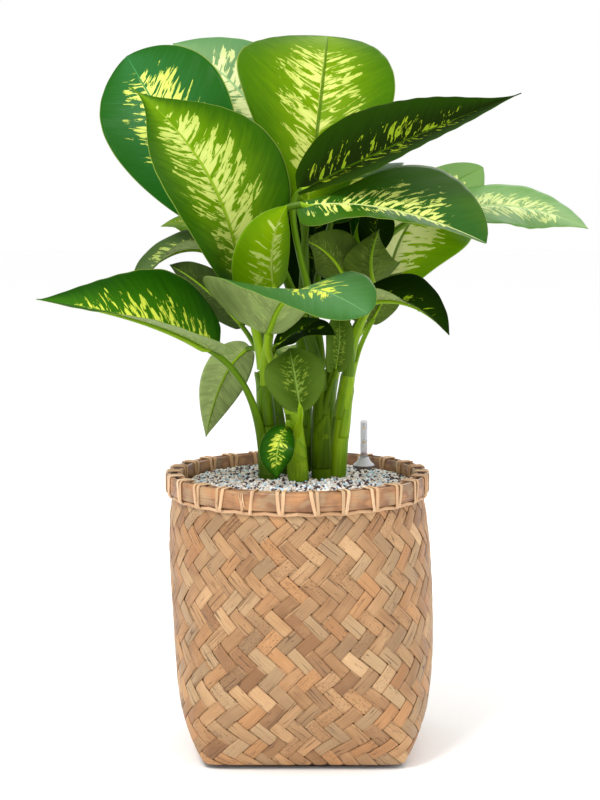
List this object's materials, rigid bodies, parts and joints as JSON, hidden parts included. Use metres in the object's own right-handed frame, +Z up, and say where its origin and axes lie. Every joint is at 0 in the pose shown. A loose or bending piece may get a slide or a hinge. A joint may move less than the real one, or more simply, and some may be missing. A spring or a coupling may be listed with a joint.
{
  "type": "potted dieffenbachia",
  "caption": "Leafy variegated dieffenbachia standing in mineral granules in a lined, woven bamboo basket with a lashed rim and a water gauge.",
  "frame": {"origin": "centre of the foot plate's underside", "axes": "+Z up, -Y the front, towards the viewer; +X to the viewer's right"},
  "size_m": [0.6586, 0.4992, 0.8677],
  "materials": {
    "leaf_green": "semi-gloss living leaf",
    "leaf_lime": "semi-gloss living leaf, light shining through",
    "cane": "smooth living stem",
    "dark_wood": "dark stained board",
    "bamboo": "split bamboo strips, woven, matt",
    "hoop": "bamboo hoop, satin",
    "rattan": "flat rattan binding",
    "liner": "thin moulded plastic",
    "granules": "mixed mineral granules, matt",
    "clear_plastic": "clear plastic tube",
    "grey_plastic": "smoky grey clear plastic",
    "red_plastic": "red indicator"
  },
  "bodies": {
    "planter": {"leaf_01": "leaf_green", "leaf_02": "leaf_lime", "leaf_03": "leaf_green", "leaf_04": "leaf_lime", "leaf_05": "leaf_green", "leaf_06": "leaf_green", "leaf_07": "leaf_green", "leaf_08": "leaf_lime", "leaf_09": "leaf_green", "leaf_10": "leaf_green", "leaf_11": "leaf_lime", "leaf_12": "leaf_lime", "leaf_13": "leaf_green", "leaf_14": "leaf_green", "leaf_15": "leaf_green", "leaf_16": "leaf_green", "leaf_17": "leaf_green", "leaf_18": "leaf_green", "leaf_19": "leaf_green", "leaf_20": "leaf_green", "leaf_21": "leaf_green", "leaf_22": "leaf_green", "leaf_23": "leaf_green", "leaf_24": "leaf_green", "leaf_25": "leaf_green", "leaf_26": "leaf_green", "leaf_27": "leaf_green", "leaf_28": "leaf_green", "leaf_29": "leaf_green", "leaf_30": "leaf_green", "leaf_31": "leaf_lime", "cane_a": "cane", "cane_b": "cane", "cane_c": "cane", "cane_d": "cane", "cane_e": "cane", "cane_f": "cane", "cane_g": "cane", "foot_plate": "dark_wood", "basket": "bamboo", "rim_hoop_outer": "hoop", "rim_hoop_inner": "hoop", "rim_lashing": "rattan", "liner_pot": "liner", "granules": "granules", "gauge_tube": "clear_plastic", "gauge_collar": "grey_plastic"},
    "float": {"gauge_float": "red_plastic"}
  },
  "joints": [
    {"name": "float_slide", "type": "slide", "parent": "planter", "child": "float", "axis": [0, 0, 1], "range_m": [0, 0.033]}
  ]
}
